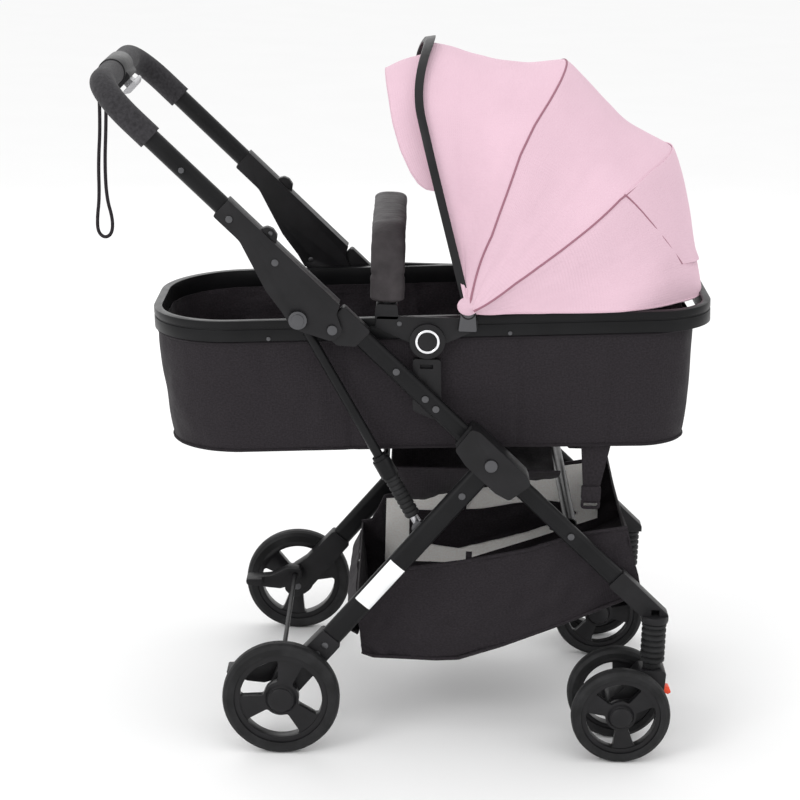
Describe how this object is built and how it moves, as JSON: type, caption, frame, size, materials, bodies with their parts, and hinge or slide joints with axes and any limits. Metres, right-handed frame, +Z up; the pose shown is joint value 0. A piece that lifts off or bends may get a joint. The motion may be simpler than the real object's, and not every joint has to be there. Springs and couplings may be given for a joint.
{
  "type": "folding baby stroller",
  "caption": "Folding baby stroller with a lift-off carrycot, folding canopy, bumper bar, shopping basket, swivelling twin casters and a one-piece handle that folds down with the rear legs.",
  "frame": {"origin": "on the floor, under the middle of the overall length and width, with all wheels on the floor", "axes": "+Z up, +X towards the swivelling front wheels, +Y towards the stroller's left side; the handle is at -X"},
  "size_m": [0.8882, 0.52, 1.0127],
  "materials": {
    "frame_black": "satin powder coat",
    "plastic_black": "fine grained",
    "foam_grip": "closed-cell foam",
    "grey_plastic": "satin moulded",
    "steel": "plated",
    "steel_black": "blackened heads",
    "tyre_black": "foamed tyre",
    "wheel_black": "moulded, low gloss",
    "bellows_black": "ribbed rubber",
    "lock_red": "moulded",
    "ring_chrome": "bright ring, black centre",
    "fabric_dark": "woven polyester",
    "fabric_pale": "woven board cover",
    "fabric_pink": "heathered weave",
    "mattress_dark": "quilted",
    "bar_cover": "stitched sleeve",
    "webbing": "narrow woven tape"
  },
  "bodies": {
    "front_frame": {"front_legs": "frame_black", "leg_hinge_brackets": "plastic_black", "frame_pins": "steel_black", "cross_housings": "plastic_black", "caster_sockets": "plastic_black", "front_crossbar": "frame_black", "seat_uprights": "plastic_black", "basket_body": "fabric_dark", "basket_pockets": "fabric_pale"},
    "rear_legs": {"rear_leg_tubes": "frame_black", "rear_hub_brackets": "plastic_black", "rear_leg_fittings": "steel_black"},
    "brake": {"brake_linkage": "plastic_black"},
    "handle": {"handle_tube": "frame_black", "foam_grips": "foam_grip", "release_hub": "plastic_black", "fold_housings": "plastic_black", "handle_fasteners": "steel_black", "wrist_strap": "webbing"},
    "release_lever": {"release_lever": "grey_plastic"},
    "release_button": {"release_button": "grey_plastic"},
    "struts": {"strut_frame": "frame_black", "strut_gaiters": "bellows_black"},
    "strut_feet": {"strut_feet": "steel"},
    "carrycot": {"carrycot_rim": "frame_black", "carrycot_shell": "fabric_dark", "mattress": "mattress_dark", "carrycot_hubs": "plastic_black", "rim_fasteners": "steel_black", "underseat_flap": "fabric_dark", "carrycot_straps": "webbing", "canopy_rear_panel": "fabric_pink"},
    "seat_button_right": {"seat_button_right": "ring_chrome"},
    "seat_button_left": {"seat_button_left": "ring_chrome"},
    "bumper": {"bumper_bar": "frame_black", "bumper_cover": "bar_cover"},
    "canopy_rear": {"canopy_rear_bow": "plastic_black", "canopy_mid_panel": "fabric_pink"},
    "canopy_mid": {"canopy_mid_bow": "plastic_black", "canopy_front_panel": "fabric_pink"},
    "canopy_front": {"front_bow": "plastic_black"},
    "visor": {"sun_visor": "fabric_pink"},
    "suspension_right": {"caster_column_right": "bellows_black"},
    "caster_right": {"caster_fork_right": "plastic_black"},
    "swivel_lock_right": {"swivel_lock_right": "lock_red"},
    "suspension_left": {"caster_column_left": "bellows_black"},
    "caster_left": {"caster_fork_left": "plastic_black"},
    "swivel_lock_left": {"swivel_lock_left": "lock_red"},
    "wheel_rear_right": {"tyre_rear_right": "tyre_black", "rim_rear_right": "wheel_black"},
    "wheel_front_right_outer": {"tyre_front_right_outer": "tyre_black", "rim_front_right_outer": "wheel_black"},
    "wheel_front_right_inner": {"tyre_front_right_inner": "tyre_black", "rim_front_right_inner": "wheel_black"},
    "wheel_rear_left": {"tyre_rear_left": "tyre_black", "rim_rear_left": "wheel_black"},
    "wheel_front_left_outer": {"tyre_front_left_outer": "tyre_black", "rim_front_left_outer": "wheel_black"},
    "wheel_front_left_inner": {"tyre_front_left_inner": "tyre_black", "rim_front_left_inner": "wheel_black"}
  },
  "joints": [
    {"name": "handle_fold", "type": "hinge", "parent": "front_frame", "child": "handle", "pos_m": [-0.09789, 0, 0.62615], "axis": [0, 1, 0], "range_deg": [-100, 0]},
    {"name": "rear_leg_fold", "type": "hinge", "parent": "front_frame", "child": "rear_legs", "pos_m": [0.13006, 0, 0.4396], "axis": [0, 1, 0], "range_deg": [-45, 0]},
    {"name": "strut_pivot", "type": "hinge", "parent": "handle", "child": "struts", "pos_m": [-0.146, 0, 0.64], "axis": [0, 1, 0], "range_deg": [0, 95]},
    {"name": "strut_suspension", "type": "slide", "parent": "struts", "child": "strut_feet", "axis": [-0.504, 0, 0.8637], "range_m": [0, 0.008], "stiffness_N_per_m": 4000, "springref_m": -0.008},
    {"name": "brake_pedal", "type": "hinge", "parent": "rear_legs", "child": "brake", "pos_m": [-0.164, 0, 0.113], "axis": [0, -1, 0], "range_deg": [0, 20]},
    {"name": "release_lever_pull", "type": "slide", "parent": "handle", "child": "release_lever", "axis": [-0.7337, 0, 0.6794], "range_m": [0, 0.0055], "stiffness_N_per_m": 900, "springref_m": -0.004},
    {"name": "release_button_press", "type": "slide", "parent": "handle", "child": "release_button", "axis": [0.6794, 0, 0.7337], "range_m": [0, 0.002], "stiffness_N_per_m": 600, "springref_m": -0.003},
    {"name": "carrycot_lift", "type": "slide", "parent": "front_frame", "child": "carrycot", "axis": [0, 0, 1], "range_m": [0, 0.06]},
    {"name": "bumper_lift", "type": "slide", "parent": "carrycot", "child": "bumper", "axis": [0, 0, 1], "range_m": [0, 0.04]},
    {"name": "canopy_fold", "type": "hinge", "parent": "carrycot", "child": "canopy_rear", "pos_m": [0.0915, 0, 0.652], "axis": [0, 1, 0], "range_deg": [0, 28]},
    {"name": "canopy_mid_fold", "type": "hinge", "parent": "canopy_rear", "child": "canopy_mid", "pos_m": [0.0915, 0, 0.652], "axis": [0, 1, 0], "range_deg": [0, 23]},
    {"name": "canopy_front_fold", "type": "hinge", "parent": "canopy_mid", "child": "canopy_front", "pos_m": [0.0915, 0, 0.652], "axis": [0, 1, 0], "range_deg": [0, 24.5]},
    {"name": "visor_fold", "type": "hinge", "parent": "canopy_front", "child": "visor", "pos_m": [0.0915, 0, 0.652], "axis": [0, 1, 0], "range_deg": [0, 14]},
    {"name": "front_suspension_right", "type": "slide", "parent": "front_frame", "child": "suspension_right", "axis": [0, 0, 1], "range_m": [0, 0.006], "stiffness_N_per_m": 9000, "springref_m": -0.01},
    {"name": "caster_swivel_right", "type": "hinge", "parent": "suspension_right", "child": "caster_right", "pos_m": [0.377, -0.202, 0.12], "axis": [0, 0, 1], "continuous": true},
    {"name": "swivel_lock_right", "type": "hinge", "parent": "caster_right", "child": "swivel_lock_right", "pos_m": [0.39, -0.202, 0.1], "axis": [0, -1, 0], "range_deg": [0, 25]},
    {"name": "seat_button_press_right", "type": "slide", "parent": "carrycot", "child": "seat_button_right", "axis": [0, 1, 0], "range_m": [0, 0.004], "stiffness_N_per_m": 600, "springref_m": -0.003},
    {"name": "front_suspension_left", "type": "slide", "parent": "front_frame", "child": "suspension_left", "axis": [0, 0, 1], "range_m": [0, 0.006], "stiffness_N_per_m": 9000, "springref_m": -0.01},
    {"name": "caster_swivel_left", "type": "hinge", "parent": "suspension_left", "child": "caster_left", "pos_m": [0.377, 0.202, 0.12], "axis": [0, 0, 1], "continuous": true},
    {"name": "swivel_lock_left", "type": "hinge", "parent": "caster_left", "child": "swivel_lock_left", "pos_m": [0.39, 0.202, 0.1], "axis": [0, -1, 0], "range_deg": [0, 25]},
    {"name": "seat_button_press_left", "type": "slide", "parent": "carrycot", "child": "seat_button_left", "axis": [0, -1, 0], "range_m": [0, 0.004], "stiffness_N_per_m": 600, "springref_m": -0.003},
    {"name": "spin_rear_right", "type": "hinge", "parent": "rear_legs", "child": "wheel_rear_right", "pos_m": [-0.161, -0.242, 0.085], "axis": [0, 1, 0], "continuous": true},
    {"name": "spin_front_right_outer", "type": "hinge", "parent": "caster_right", "child": "wheel_front_right_outer", "pos_m": [0.331, -0.2445, 0.072], "axis": [0, 1, 0], "continuous": true},
    {"name": "spin_front_right_inner", "type": "hinge", "parent": "caster_right", "child": "wheel_front_right_inner", "pos_m": [0.331, -0.1595, 0.072], "axis": [0, 1, 0], "continuous": true},
    {"name": "spin_rear_left", "type": "hinge", "parent": "rear_legs", "child": "wheel_rear_left", "pos_m": [-0.161, 0.242, 0.085], "axis": [0, 1, 0], "continuous": true},
    {"name": "spin_front_left_outer", "type": "hinge", "parent": "caster_left", "child": "wheel_front_left_outer", "pos_m": [0.331, 0.2445, 0.072], "axis": [0, 1, 0], "continuous": true},
    {"name": "spin_front_left_inner", "type": "hinge", "parent": "caster_left", "child": "wheel_front_left_inner", "pos_m": [0.331, 0.1595, 0.072], "axis": [0, 1, 0], "continuous": true}
  ],
  "couplings": [
    {"joint": "rear_leg_fold", "follows": "handle_fold", "ratio": 0.3569},
    {"joint": "strut_pivot", "follows": "handle_fold", "ratio": -0.9132},
    {"joint": "canopy_mid_fold", "follows": "canopy_fold", "ratio": 0.82},
    {"joint": "canopy_front_fold", "follows": "canopy_fold", "ratio": 0.87}
  ]
}
